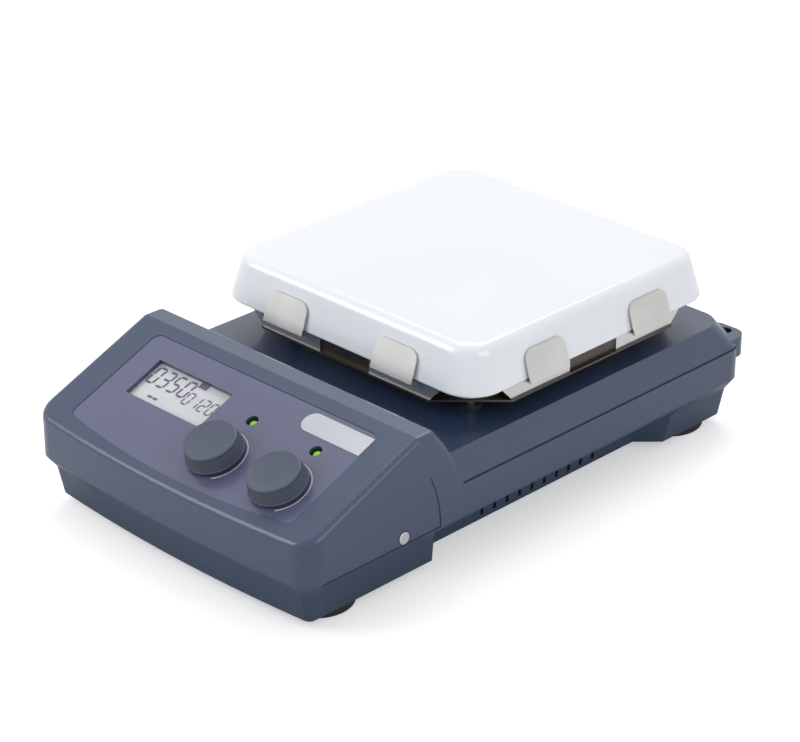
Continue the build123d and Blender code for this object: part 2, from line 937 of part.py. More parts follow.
def knob(u):
    """One knob: a tapered cap with rounded top, hollow below and bored for the shaft."""
    with BuildPart() as cap:
        with BuildSketch(on_panel(u, knob_v, knob_bottom)):
            Circle(knob_radius)
        extrude(amount=knob_height, taper=knob_taper)
        rim = cap.edges().sort_by(lambda edge: panel.to_local_coords(edge.center()).Z)[-1]
        fillet(rim, knob_edge)
        add(disc(on_panel(u, knob_v, knob_bottom), knob_cavity_radius, knob_cavity_depth), mode=Mode.SUBTRACT)
        add(disc(on_panel(u, knob_v, knob_bottom), shaft_radius, knob_height - knob_cap), mode=Mode.SUBTRACT)
    return cap.part


def shaft(u):
    """One encoder shaft, from the plunger up to the knob's cap."""
    return disc(on_panel(u, knob_v, shaft_bottom_h), shaft_radius, knob_top_h - knob_cap - shaft_bottom_h)


def plunger(u):
    """The small plunger under one shaft that the knob presses."""
    return disc(on_panel(u, knob_v, plunger_h), plunger_radius, plunger_height)


for u, name in ((stir_u, "stir"), (heat_u, "heat")):
    save(encoder(u), f"{name}_encoder")
    save(knob(u), f"{name}_knob")
    save(shaft(u), f"{name}_shaft")
    save(plunger(u), f"{name}_plunger")

with BuildPart() as knob_nuts:
    for u in (stir_u, heat_u):
        with BuildSketch(on_panel(u, knob_v, -membrane_recess)):
            RegularPolygon(nut_radius, 6)
            Circle(bushing_radius + thread_gap, mode=Mode.SUBTRACT)
        extrude(amount=nut_height)
save(knob_nuts.part, "knob_nuts")

# Heating plate


def rounded_square(height, half, corner):
    """Plan of a square round the plate's centre with rounded corners."""
    with BuildSketch(at(0, plate_y, height)) as plan:
        RectangleRounded(2 * half, 2 * half, corner)
    return plan.sketch


flare = (rim_half - top_half) / plate_height
ceiling_half = rim_half - flare * (plate_height - cover_top) - cover_wall
with BuildPart() as plate_cover:
    foot_outline = rounded_square(rim_z, rim_half, rim_corner)
    top_outline = rounded_square(cover_z, top_half, top_corner)
    loft(sections=[foot_outline, top_outline])
    fillet(plate_cover.edges().group_by(Axis.Z)[-1], cover_edge)
    fillet(plate_cover.edges().group_by(Axis.Z)[0], cover_lip)
    loft(
        sections=[
            rounded_square(rim_z, rim_half - cover_wall, rim_corner - cover_wall),
            rounded_square(heater_top_z, ceiling_half, top_corner - cover_wall),
        ],
        mode=Mode.SUBTRACT,
    )
save(plate_cover.part, "plate_cover")


def ring_point(angle, radius, height):
    """A point on a level circle round the plate's centre."""
    return Vector(radius * cos(radians(angle)), plate_y + radius * sin(radians(angle)), height)


def element_shape(tube):
    """The heating element with one tube radius: an open ring whose two ends bend down into straight legs."""
    first = 90 + element_opening / 2
    last = 90 - element_opening / 2
    bend = Vector(0, 0, element_bend)
    leg = Vector(0, 0, terminal_length - element_bend)
    corner = element_bend * (1 - cos(radians(45)))
    start = ring_point(first, element_radius, heater_z)
    end = ring_point(last, element_radius, heater_z)
    start_side = Vector(cos(radians(first - 90)), sin(radians(first - 90)), 0)
    end_side = Vector(-cos(radians(last - 90)), -sin(radians(last - 90)), 0)
    start_knee = start + start_side * element_bend - bend
    end_knee = end + end_side * element_bend - bend
    start_middle = start + start_side * (element_bend - corner) - Vector(0, 0, corner)
    end_middle = end + end_side * (element_bend - corner) - Vector(0, 0, corner)
    with BuildPart() as shape:
        with BuildLine() as path:
            Line(start_knee - leg, start_knee)
            ThreePointArc(start_knee, start_middle, start)
            ThreePointArc(start, ring_point(-90, element_radius, heater_z), end)
            ThreePointArc(end, end_middle, end_knee)
            Line(end_knee, end_knee - leg)
        with BuildSketch(Plane(origin=start_knee - leg, z_dir=(0, 0, 1))):
            Circle(tube)
        sweep(path=path.line)
    return shape.part


with BuildPart() as heater_plate:
    extrude(to_extrude=rounded_square(heater_z, heater_half, heater_corner), amount=heater_thickness)
    add(element_shape(element_tube + element_gap), mode=Mode.SUBTRACT)
    for x, y in post_spots:
        add(
            disc(at(x, y, heater_z), post_head_radius + thread_gap, post_head_length + stack_gap),
            mode=Mode.SUBTRACT,
        )
save(heater_plate.part, "heater_plate")

save(element_shape(element_tube), "heating_element")
save(disc(at(0, plate_y, heater_z - sensor_height), sensor_radius, sensor_height), "temperature_sensor")

with BuildPart() as insulation_pad:
    pad_z = pan_floor_z + stack_gap
    pad_height = heater_z - stack_gap - pad_z
    extrude(to_extrude=rounded_square(pad_z, insulation_half, insulation_corner), amount=pad_height)
    add(disc(at(0, plate_y, pad_z), insulation_hole, pad_height), mode=Mode.SUBTRACT)
    add(element_shape(element_tube + terminal_clearance), mode=Mode.SUBTRACT)
    for x, y in post_spots:
        add(disc(at(x, y, pad_z), post_neck_radius + post_clearance, pad_height), mode=Mode.SUBTRACT)
save(insulation_pad.part, "insulation_pad")

# Pan and clips under the plate

pan_outer = pan_half + clip_sheet + pan_hem
shelf_z = rim_z - clip_shelf_gap - clip_sheet
with BuildPart() as plate_pan:
    with BuildSketch(at(0, plate_y, pan_z)) as pan_plan:
        Rectangle(2 * pan_outer, 2 * pan_outer)
        chamfer(pan_plan.vertices(), pan_outer - pan_wall_low)
    extrude(amount=pan_sheet)
    wall = Plane(origin=(pan_half, plate_y, pan_floor_z), x_dir=(0, 1, 0), z_dir=(1, 0, 0))
    with BuildSketch(wall):
        Polygon(
            (-pan_wall_low, 0), (pan_wall_low, 0), (pan_wall_high, shelf_z - pan_floor_z),
            (-pan_wall_high, shelf_z - pan_floor_z), align=None,
        )
    pan_side = extrude(amount=-pan_sheet, mode=Mode.PRIVATE)
    with Locations((0, plate_y, 0)):
        with PolarLocations(0, 4):
            add(pan_side.translate((0, -plate_y, 0)))
    for x, y in post_spots:
        add(disc(at(x, y, pan_z), post_neck_radius + post_tail_clearance, pan_sheet), mode=Mode.SUBTRACT)
    add(disc(at(0, plate_y, pan_z), hub_radius + hub_hole_gap, pan_sheet), mode=Mode.SUBTRACT)
    add(element_shape(element_tube + terminal_clearance), mode=Mode.SUBTRACT)
save(plate_pan.part, "plate_pan")


def clip_pair():
    """Two mirrored clips on the right side of a plate centred on the origin."""
    outer = rim_half + clip_stand_off + clip_sheet
    top_z = rim_z + clip_height
    top_inner = rim_half - flare * clip_height + clip_top_gap
    length = pan_wall_high - clip_foot_inner
    near = clip_centre - clip_width / 2
    far = clip_centre + clip_width / 2
    profile_plane = Plane(origin=(0, clip_foot_inner, 0), x_dir=(1, 0, 0), z_dir=(0, -1, 0))
    with BuildPart() as clips:
        with BuildSketch(profile_plane):
            Polygon(
                (pan_half, pan_floor_z), (pan_half + clip_sheet, pan_floor_z),
                (pan_half + clip_sheet, shelf_z),
                (outer, shelf_z), (top_inner + clip_sheet, top_z), (top_inner, top_z),
                (outer - clip_sheet, shelf_z + clip_sheet), (pan_half, shelf_z + clip_sheet), align=None,
            )
        extrude(amount=-length)
        with BuildSketch(Plane.YZ.offset(pan_half)) as face:
            Polygon(
                (clip_foot_inner, pan_floor_z), (pan_wall_low, pan_floor_z), (pan_wall_high, shelf_z),
                (far, shelf_z), (far, top_z), (near, top_z), (near, shelf_z),
                (clip_foot_inner, shelf_z), align=None,
            )
            fillet(face.vertices().group_by(Axis.Y)[-1], clip_round)
        extrude(amount=outer - pan_half, mode=Mode.INTERSECT)
        mirror(about=Plane.XZ)
    return clips.part


with BuildPart() as plate_clips:
    with Locations((0, plate_y, 0)):
        with PolarLocations(0, 4):
            add(clip_pair())
save(plate_clips.part, "plate_clips")

# Posts under the plate

with BuildPart() as plate_posts:
    for x, y in post_spots:
        add(disc(at(x, y, deck_z), post_radius, pan_z - deck_z))
        add(disc(at(x, y, pan_z), post_neck_radius, heater_z - pan_z))
        add(disc(at(x, y, heater_z), post_head_radius, post_head_length))
        add(disc(at(x, y, deck_z), post_tail_radius, roof_z - post_nut_height - 1 - deck_z))
save(plate_posts.part, "plate_posts")

with BuildPart() as post_collars:
    for x, y in post_spots:
        add(disc(at(x, y, deck_z), collar_radius, collar_height))
        add(disc(at(x, y, deck_z), post_radius + post_tail_clearance, collar_height), mode=Mode.SUBTRACT)
save(post_collars.part, "post_collars")

with BuildPart() as post_nuts:
    for x, y in post_spots:
        with BuildSketch(at(x, y, roof_z)):
            RegularPolygon(post_nut_radius, 6)
            Circle(post_tail_radius + thread_gap, mode=Mode.SUBTRACT)
        extrude(amount=-post_nut_height)
save(post_nuts.part, "post_nuts")

# Motor and magnet drive

motor_z = floor_z + motor_plate_height
can_z = motor_z + motor_plate_thickness
can_top_z = can_z + motor_height
can_inner = motor_radius - motor_wall
upper_bearing_z = can_top_z - motor_wall - bearing_width
rotor_z = (can_z + bearing_width + upper_bearing_z - rotor_height) / 2
yoke_z = pan_floor_z + yoke_lift
standoff_spots = [(x * standoff_spread, plate_y + y * standoff_spread) for x in (-1, 1) for y in (-1, 1)]

with BuildPart() as motor_standoffs:
    for x, y in standoff_spots:
        add(disc(at(x, y, floor_z), standoff_radius, motor_plate_height))
save(motor_standoffs.part, "motor_standoffs")

with BuildPart() as motor_plate:
    add(block(at(0, plate_y, motor_z), 2 * motor_plate_half, 2 * motor_plate_half, motor_plate_thickness))
    add(disc(at(0, plate_y, can_z), bearing_radius + motor_wall, bearing_width))
    add(disc(at(0, plate_y, can_z), bearing_radius, bearing_width), mode=Mode.SUBTRACT)
save(motor_plate.part, "motor_plate")

with BuildPart() as motor_can:
    add(disc(at(0, plate_y, can_z), motor_radius, motor_height))
    add(disc(at(0, plate_y, can_z), can_inner, motor_height - motor_wall), mode=Mode.SUBTRACT)
    add(disc(at(0, plate_y, upper_bearing_z), bearing_radius + motor_wall, bearing_width))
    add(disc(at(0, plate_y, upper_bearing_z), bearing_radius, bearing_width), mode=Mode.SUBTRACT)
    add(
        disc(at(0, plate_y, upper_bearing_z), spindle_radius + 1, bearing_width + motor_wall),
        mode=Mode.SUBTRACT,
    )
save(motor_can.part, "motor_can")

with BuildPart() as motor_bearings:
    for height in (can_z, upper_bearing_z):
        with BuildSketch(at(0, plate_y, height)):
            Circle(bearing_radius)
            Circle(spindle_radius + shaft_clearance, mode=Mode.SUBTRACT)
        extrude(amount=bearing_width)
save(motor_bearings.part, "motor_bearings")

with BuildPart() as stator_core:
    with BuildSketch(at(0, plate_y, rotor_z)):
        Circle(can_inner)
        Circle(rotor_radius + air_gap, mode=Mode.SUBTRACT)
        with PolarLocations(rotor_radius + air_gap + stator_slot_depth / 2, stator_slots):
            Rectangle(stator_slot_depth + 1, stator_slot_width, mode=Mode.SUBTRACT)
    extrude(amount=rotor_height)
save(stator_core.part, "stator_core")

with BuildPart() as motor_rotor:
    add(disc(at(0, plate_y, rotor_z), rotor_radius, rotor_height))
    add(disc(at(0, plate_y, rotor_z), spindle_radius, rotor_height), mode=Mode.SUBTRACT)
save(motor_rotor.part, "motor_rotor")

shaft_z = can_z + stack_gap
save(disc(at(0, plate_y, shaft_z), spindle_radius, yoke_z + yoke_thickness - shaft_z), "drive_shaft")

with BuildPart() as magnet_yoke:
    with BuildSketch(at(0, plate_y, yoke_z)):
        RectangleRounded(yoke_length, yoke_width, yoke_width / 2 - 1)
    extrude(amount=yoke_thickness)
    add(disc(at(0, plate_y, yoke_z), hub_radius, -hub_height))
    add(
        disc(at(0, plate_y, yoke_z - hub_height), spindle_radius, hub_height + yoke_thickness),
        mode=Mode.SUBTRACT,
    )
save(magnet_yoke.part, "magnet_yoke")

with BuildPart() as drive_magnets:
    for side in (-1, 1):
        add(disc(at(side * magnet_spread, plate_y, yoke_z + yoke_thickness), magnet_radius, magnet_height))
save(drive_magnets.part, "drive_magnets")

# Main board and what stands on it

board_y = front_y + main_board_y
board_z = floor_z + main_board_lift
parts_z = board_z + board_thickness
with BuildPart() as main_board:
    add(block(at(0, board_y, board_z), main_board_width, main_board_depth, board_thickness))
save(main_board.part, "main_board")

with BuildPart() as board_posts:
    for x in (-1, 1):
        for y in (-1, 1):
            post_x = x * (foot_x - foot_boss_radius - board_post_radius - board_post_gap)
            post_y = board_y + y * (main_board_depth / 2 - board_post_inset)
            add(disc(at(post_x, post_y, floor_z), board_post_radius, main_board_lift))
save(board_posts.part, "board_posts")

with BuildPart() as capacitors:
    for i in range(2):
        spot = at(-main_board_width / 4 - i * capacitor_pitch, board_y, parts_z)
        add(disc(spot, capacitor_radius, capacitor_height))
save(capacitors.part, "capacitors")

relay_x = -main_board_width / 20
save(block(at(relay_x, board_y, parts_z), relay_length, relay_width, relay_height), "relay")

with BuildPart() as heat_sink:
    sink_x = main_board_width / 4
    sink_length = main_board_width * sink_share
    add(block(at(sink_x, board_y, parts_z), sink_length, sink_width, sink_base))
    fin_pitch = (sink_width - sink_fin) / (sink_fins - 1)
    for i in range(sink_fins):
        fin_y = board_y - (sink_width - sink_fin) / 2 + i * fin_pitch
        add(block(at(sink_x, fin_y, parts_z), sink_length, sink_fin, sink_height))
save(heat_sink.part, "heat_sink")

transformer_x = -(half_width - waist_inset - transformer_side - transformer_length / 2)
transformer_y = (board_y + main_board_depth / 2 + plate_y - motor_plate_half) / 2
with BuildPart() as transformer:
    add(block(
        at(transformer_x, transformer_y, floor_z), transformer_length, transformer_width, transformer_height
    ))
    coil_height = transformer_height - 2 * coil_overhang * 3
    coil_z = floor_z + coil_overhang * 3
    coil_depth = transformer_width + 2 * coil_overhang
    add(block(at(transformer_x, transformer_y, coil_z), coil_length, coil_depth, coil_height))
save(transformer.part, "transformer")

# Rear panel and its fittings


def port_shape(plane, width, height, amount):
    """A raised trapezoid with rounded corners, wider at the top."""
    with BuildPart() as shape:
        with BuildSketch(plane) as face:
            Polygon(
                (-width / 2, height / 2), (width / 2, height / 2),
                (width / 2 - height / 5, -height / 2), (-width / 2 + height / 5, -height / 2), align=None,
            )
            fillet(face.vertices(), height / 5)
        extrude(amount=amount)
    return shape.part


with BuildPart() as rear_panel:
    add(block(on_rear(0, 0, -rear_panel_sheet), rear_panel_width, rear_panel_height, rear_panel_sheet))
    cut_depth = -rear_panel_sheet
    inlet_hole = block(
        on_rear(inlet_x, 0), inlet_width + 2 * seam_gap, inlet_height + 2 * seam_gap, cut_depth
    )
    switch_hole = block(
        on_rear(switch_x, 0), switch_width + 2 * seam_gap, switch_height + 2 * seam_gap, cut_depth
    )
    add(inlet_hole, mode=Mode.SUBTRACT)
    add(switch_hole, mode=Mode.SUBTRACT)
    serial_hole = port_shape(
        on_rear(serial_x, serial_z), serial_shell_width + 2 * seam_gap,
        serial_shell_height + 2 * seam_gap, cut_depth
    )
    add(serial_hole, mode=Mode.SUBTRACT)
    add(disc(on_rear(probe_x, probe_z), probe_radius + seam_gap, cut_depth), mode=Mode.SUBTRACT)
    for x, z in panel_screw_spots:
        add(disc(on_rear(x, z), panel_screw_radius + screw_clearance, cut_depth), mode=Mode.SUBTRACT)
save(rear_panel.part, "rear_panel")

with BuildPart() as panel_screws:
    for x, z in panel_screw_spots:
        add(screw(
            on_rear(x, z), panel_screw_length - screw_end_gap, panel_screw_radius, panel_screw_head,
            panel_screw_cap
        ))
save(panel_screws.part, "panel_screws")

socket_spot_x = inlet_x + socket_x
drawer_spot_x = inlet_x + drawer_x
socket_floor_out = inlet_flange_thickness - socket_depth
with BuildPart() as power_inlet:
    add(block(on_rear(inlet_x, 0), inlet_width, inlet_height, -inlet_depth))
    flange_width = inlet_width + 2 * inlet_flange
    flange_height = inlet_height + 2 * inlet_flange
    add(block(on_rear(inlet_x, 0), flange_width, flange_height, inlet_flange_thickness))
    fillet(power_inlet.edges().filter_by(Axis.Y).group_by(SortBy.LENGTH)[0], inlet_flange / 2)
    add(
        block(on_rear(socket_spot_x, 0, socket_floor_out), socket_width, socket_height, socket_depth),
        mode=Mode.SUBTRACT,
    )
    drawer_room = block(
        on_rear(drawer_spot_x, 0, inlet_flange_thickness), drawer_width + 2 * drawer_gap,
        drawer_height + 2 * drawer_gap, -drawer_depth - drawer_gap,
    )
    add(drawer_room, mode=Mode.SUBTRACT)
save(power_inlet.part, "power_inlet")

with BuildPart() as inlet_pins:
    for i, rise in ((-1, 0), (0, pin_rise), (1, 0)):
        pin_plane = on_rear(socket_spot_x + i * pin_pitch, rise - pin_rise / 2, socket_floor_out)
        add(block(pin_plane, pin_width, pin_height, pin_length))
save(inlet_pins.part, "inlet_pins")

with BuildPart() as fuse_drawer:
    drawer_face = on_rear(drawer_spot_x, 0, inlet_flange_thickness + drawer_lip)
    add(block(drawer_face, drawer_width, drawer_height, -drawer_depth - drawer_lip))
    fuse_bed = on_rear(drawer_spot_x, drawer_height / 4, inlet_flange_thickness - drawer_depth / 2)
    fuse_room = fuse_radius + stack_gap
    add(
        block(fuse_bed, 2 * fuse_room, drawer_height / 2 + 2 * fuse_room, fuse_length / 2 + stack_gap),
        mode=Mode.SUBTRACT,
    )
    add(
        block(fuse_bed, 2 * fuse_room, drawer_height / 2 + 2 * fuse_room, -fuse_length / 2 - stack_gap),
        mode=Mode.SUBTRACT,
    )
save(fuse_drawer.part, "fuse_drawer")

fuse_end = inlet_flange_thickness - drawer_depth / 2 - fuse_length / 2
fuse_z = -fuse_room + fuse_radius
save(disc(on_rear(drawer_spot_x, fuse_z, fuse_end), fuse_radius, fuse_length), "fuse")

rocker_out = -rocker_sink
pin_room = switch_height / 2 - switch_wall / 2
with BuildPart() as switch_body:
    add(block(on_rear(switch_x, 0), switch_width, switch_height, -switch_depth))
    add(block(
        on_rear(switch_x, 0), switch_width + 2 * switch_rim, switch_height + 2 * switch_rim, switch_bezel
    ))
    switch_room = block(
        on_rear(switch_x, 0, switch_bezel), switch_width - 2 * switch_wall, switch_height - 2 * switch_wall,
        -switch_bezel - switch_depth + 2 * switch_wall,
    )
    add(switch_room, mode=Mode.SUBTRACT)
    pin_hole = at(switch_x, rear_face_y + rocker_out, rear_mid_z - pin_room)
    add(disc(pin_hole, rocker_pin + shaft_clearance, 2 * pin_room), mode=Mode.SUBTRACT)
save(switch_body.part, "switch_body")

rocker_half = switch_width / 2 - switch_wall - rocker_gap
rocker_height = switch_height - 2 * switch_wall - 2 * rocker_side_gap
with BuildPart() as rocker:
    pivot = Plane(origin=(switch_x, rear_face_y + rocker_out, rear_mid_z), x_dir=(1, 0, 0), z_dir=(0, 0, 1))
    with BuildSketch(pivot.rotated((0, 0, -rocker_angle))):
        Polygon(
            (-rocker_half, rocker_rise), (0, rocker_dip), (rocker_half, rocker_rise),
            (rocker_half, -rocker_pin / 2), (rocker_foot, -rocker_foot), (-rocker_foot, -rocker_foot),
            (-rocker_half, -rocker_pin / 2), align=None,
        )
    extrude(amount=rocker_height / 2, both=True)
    with BuildSketch(pivot):
        Circle(rocker_pin)
    extrude(amount=pin_room - stack_gap, both=True)
save(rocker.part, "rocker")

with BuildPart() as serial_port:
    add(block(on_rear(serial_x, serial_z), serial_width, serial_height, serial_sheet))
    add(port_shape(on_rear(serial_x, serial_z), serial_shell_width, serial_shell_height, serial_reach))
    add(port_shape(on_rear(serial_x, serial_z), serial_shell_width, serial_shell_height, -serial_depth))
    inner_width = serial_shell_width - 2 * serial_sheet
    inner_height = serial_shell_height - 2 * serial_sheet
    socket = port_shape(on_rear(serial_x, serial_z, serial_reach), inner_width, inner_height, -serial_reach)
    add(socket, mode=Mode.SUBTRACT)
save(serial_port.part, "serial_port")

with BuildPart() as probe_socket:
    add(disc(on_rear(probe_x, probe_z), probe_radius, -probe_depth))
    add(disc(on_rear(probe_x, probe_z), probe_collar, probe_reach / 2))
    add(disc(on_rear(probe_x, probe_z), probe_radius, probe_reach))
save(probe_socket.part, "probe_socket")
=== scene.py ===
"""The looks of the hotplate stirrer: finishes, display, printed rings, knurled knobs, lamps, camera.

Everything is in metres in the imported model's frame: X to the right, Y to the rear, Z up from the table.
"""

import logging
import math
from dataclasses import dataclass, field
from enum import Enum
from typing import Dict, List, Sequence, Tuple

import bpy
import numpy as np
from mathutils import Matrix, Vector

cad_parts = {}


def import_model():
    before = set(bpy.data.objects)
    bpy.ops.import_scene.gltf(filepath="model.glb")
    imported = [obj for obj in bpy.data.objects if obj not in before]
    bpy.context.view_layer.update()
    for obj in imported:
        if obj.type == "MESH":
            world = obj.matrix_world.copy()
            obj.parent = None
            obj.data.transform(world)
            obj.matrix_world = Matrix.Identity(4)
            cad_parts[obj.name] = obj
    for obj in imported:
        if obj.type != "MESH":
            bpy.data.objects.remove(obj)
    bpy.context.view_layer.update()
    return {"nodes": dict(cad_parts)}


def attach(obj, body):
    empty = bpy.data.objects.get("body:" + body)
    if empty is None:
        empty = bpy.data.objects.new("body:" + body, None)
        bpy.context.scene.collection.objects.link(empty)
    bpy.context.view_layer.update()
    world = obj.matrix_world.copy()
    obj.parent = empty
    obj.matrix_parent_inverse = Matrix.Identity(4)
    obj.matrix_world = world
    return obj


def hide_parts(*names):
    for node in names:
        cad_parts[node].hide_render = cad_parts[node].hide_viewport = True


log = logging.getLogger("hotplate")

MM = 0.001
Rgb = Tuple[float, float, float]


def linear(colour: Rgb) -> Tuple[float, float, float, float]:
    """Turns a display colour into the linear colour that shaders take.

    Args:
        colour: red, green and blue from 0 to 255.

    Returns:
        Linear red, green, blue and an alpha of one.
    """
    part = np.array(colour, float) / 255.0
    low = part / 12.92
    high = ((part + 0.055) / 1.055) ** 2.4
    red, green, blue = np.where(part <= 0.04045, low, high)
    return float(red), float(green), float(blue), 1.0


class Grain(Enum):
    """How the fine pattern of a finish lies on its piece."""

    EVEN = (1.0, 1.0, 1.0)
    ALONG_X = (0.04, 1.0, 1.0)
    ALONG_Z = (1.0, 1.0, 0.03)


@dataclass(frozen=True)
class Finish:
    """One surface finish, built as nodes: tone drifts, roughness drifts and a fine bump.

    Args:
        name: the material's name.
        colour: display colour of the middle tone.
        roughness: middle roughness.
        metallic: one for bare metal.
        drift: share by which the tone goes up and down over the piece.
        drift_size: size of the tone patches in metres.
        grain_size: size of the bump's grain in metres.
        grain_height: height of the bump in metres.
        grain: direction of the grain.
        coat: weight of the clear layer.
        coat_roughness: roughness of the clear layer.
        alpha: one for a solid finish.
        glow: strength of a little light of its own.
        tone_detail: how many finer layers the tone patches have.
        tone_ends: where on the noise the darkest and the lightest tone lie.
        shine_spread: how far the roughness drifts to each side.
        speck_detail: how many finer layers the bump's grain has.
    """

    name: str
    colour: Rgb
    roughness: float = 0.5
    metallic: float = 0.0
    drift: float = 0.04
    drift_size: float = 0.03
    grain_size: float = 0.0008
    grain_height: float = 0.00002
    grain: Grain = Grain.EVEN
    coat: float = 0.0
    coat_roughness: float = 0.1
    alpha: float = 1.0
    glow: float = 0.0
    tone_detail: float = 4.0
    tone_ends: Tuple[float, float] = (0.3, 0.7)
    shine_spread: float = 0.05
    speck_detail: float = 3.0

    def tone(self, share: float) -> Tuple[float, float, float, float]:
        """The middle tone made lighter or darker by a share."""
        red, green, blue, _ = linear(self.colour)
        return min(red * share, 1.0), min(green * share, 1.0), min(blue * share, 1.0), 1.0

    def build(self) -> bpy.types.Material:
        """Makes the material.

        Returns:
            The material with its nodes.
        """
        material = bpy.data.materials.new(self.name)
        material.use_nodes = True
        nodes, links = material.node_tree.nodes, material.node_tree.links
        shader = nodes["Principled BSDF"]
        place = nodes.new("ShaderNodeTexCoord")
        patches = nodes.new("ShaderNodeTexNoise")
        patches.inputs["Scale"].default_value = 1.0 / self.drift_size
        patches.inputs["Detail"].default_value = self.tone_detail
        links.new(place.outputs["Object"], patches.inputs["Vector"])
        tones = nodes.new("ShaderNodeValToRGB")
        tones.color_ramp.elements[0].position = self.tone_ends[0]
        tones.color_ramp.elements[0].color = self.tone(1.0 - self.drift)
        tones.color_ramp.elements[1].position = self.tone_ends[1]
        tones.color_ramp.elements[1].color = self.tone(1.0 + self.drift)
        links.new(patches.outputs["Fac"], tones.inputs["Fac"])
        links.new(tones.outputs["Color"], shader.inputs["Base Color"])
        shine = nodes.new("ShaderNodeMapRange")
        shine.inputs["To Min"].default_value = max(self.roughness - self.shine_spread, 0.02)
        shine.inputs["To Max"].default_value = min(self.roughness + self.shine_spread, 1.0)
        links.new(patches.outputs["Fac"], shine.inputs["Value"])
        links.new(shine.outputs["Result"], shader.inputs["Roughness"])
        stretch = nodes.new("ShaderNodeMapping")
        stretch.inputs["Scale"].default_value = self.grain.value
        links.new(place.outputs["Object"], stretch.inputs["Vector"])
        specks = nodes.new("ShaderNodeTexNoise")
        specks.inputs["Scale"].default_value = 1.0 / self.grain_size
        specks.inputs["Detail"].default_value = self.speck_detail
        links.new(stretch.outputs["Vector"], specks.inputs["Vector"])
        bump = nodes.new("ShaderNodeBump")
        bump.inputs["Strength"].default_value = 1.0
        bump.inputs["Distance"].default_value = self.grain_height
        links.new(specks.outputs["Fac"], bump.inputs["Height"])
        links.new(bump.outputs["Normal"], shader.inputs["Normal"])
        shader.inputs["Metallic"].default_value = self.metallic
        shader.inputs["Coat Weight"].default_value = self.coat
        shader.inputs["Coat Roughness"].default_value = self.coat_roughness
        shader.inputs["Alpha"].default_value = self.alpha
        if self.glow:
            links.new(tones.outputs["Color"], shader.inputs["Emission Color"])
            shader.inputs["Emission Strength"].default_value = self.glow
        return material


CASE_PAINT = Finish("case_paint", (48, 63, 91), 0.34, drift=0.03, grain_size=0.0007, grain_height=0.00003,
                    coat=0.35)
TRAY_PAINT = Finish("tray_paint", (42, 59, 83), 0.4, drift=0.03, grain_size=0.0007, grain_height=0.00003)
MEMBRANE = Finish("membrane_film", (84, 88, 116), 0.3, drift=0.02, grain_size=0.0004, grain_height=0.000008,
                  coat=0.4)
BADGE = Finish("badge_silver", (188, 190, 197), 0.3, 0.6, drift=0.02, grain=Grain.ALONG_X, grain_size=0.0005)
WINDOW = Finish("window_clear", (222, 226, 224), 0.08, drift=0.02, grain_height=0.000002, alpha=0.12)
DISPLAY_FACE = Finish("display_face", (212, 214, 218), 0.6, drift=0.015, grain_size=0.0005,
                      grain_height=0.000004)
INK = Finish("display_ink", (62, 52, 96), 0.5, drift=0.05, grain_height=0.000002)
PRINT = Finish("white_print", (178, 182, 198), 0.5, drift=0.02, grain_height=0.000004)
LENS = Finish("lens_green", (124, 186, 30), 0.12, drift=0.08, grain_height=0.000004, coat=0.8, glow=0.22)
KNOB = Finish("knob_grey", (66, 74, 92), 0.4, drift=0.03, grain_size=0.0005, grain_height=0.00001)
ENAMEL = Finish("plate_enamel", (228, 232, 238), 0.16, drift=0.015, drift_size=0.08, grain_size=0.006,
                grain_height=0.00001, coat=0.6, coat_roughness=0.06)
PAN_STEEL = Finish("pan_steel", (92, 86, 80), 0.38, 1.0, drift=0.1, grain=Grain.ALONG_X, grain_size=0.0006)
CLIP_STEEL = Finish("clip_steel", (208, 208, 206), 0.26, 1.0, drift=0.06, grain=Grain.ALONG_Z,
                    grain_size=0.0006)
POST_STEEL = Finish("post_steel", (196, 198, 202), 0.28, 1.0, drift=0.05, grain=Grain.ALONG_Z,
                    grain_size=0.0005)
SCREW_STEEL = Finish("screw_steel", (205, 206, 208), 0.3, 1.0, drift=0.06, grain_size=0.0006)
MACHINED = Finish("machined_steel", (168, 170, 174), 0.35, 1.0, drift=0.06, grain_size=0.0006)
COLLAR = Finish("collar_dark", (44, 44, 47), 0.45, drift=0.08, grain_size=0.0005)
RUBBER = Finish("foot_rubber", (30, 30, 33), 0.75, drift=0.1, grain_size=0.0009, grain_height=0.00005)
ALLOY = Finish("heater_alloy", (170, 170, 173), 0.55, 1.0, drift=0.06, grain_size=0.0012)
ELEMENT = Finish("element_steel", (104, 98, 94), 0.4, 1.0, drift=0.15, grain_size=0.0008)
INSULATION = Finish("insulation_board", (196, 190, 176), 0.9, drift=0.08, grain_size=0.0015,
                    grain_height=0.0002)
ZINC = Finish("motor_zinc", (158, 161, 166), 0.4, 0.8, drift=0.08, grain_size=0.0012)
IRON = Finish("core_iron", (66, 66, 70), 0.6, 0.6, drift=0.12, grain=Grain.ALONG_Z, grain_size=0.0007)
MAGNET = Finish("magnet_dark", (120, 121, 126), 0.25, 1.0, drift=0.05)
BOARD = Finish("board_green", (34, 92, 58), 0.4, drift=0.12, grain_size=0.002, coat=0.3)
BLACK_PLASTIC = Finish("fitting_black", (30, 30, 32), 0.45, drift=0.08, grain_size=0.0006)
INNER_PLASTIC = Finish("inner_plastic", (176, 176, 172), 0.6, drift=0.04)
SLEEVE = Finish("capacitor_sleeve", (34, 40, 66), 0.25, drift=0.08, coat=0.4)
RELAY = Finish("relay_case", (44, 82, 146), 0.3, drift=0.05, coat=0.3)
SINK = Finish("sink_black", (42, 42, 45), 0.5, 0.7, drift=0.08, grain=Grain.ALONG_X)
REAR_SHEET = Finish("rear_sheet", (62, 66, 76), 0.5, drift=0.05, grain_size=0.0007, grain_height=0.00003)
BRASS = Finish("pin_brass", (196, 166, 96), 0.3, 1.0, drift=0.08)
FUSE_GLASS = Finish("fuse_glass", (206, 212, 210), 0.1, drift=0.04, alpha=0.5)
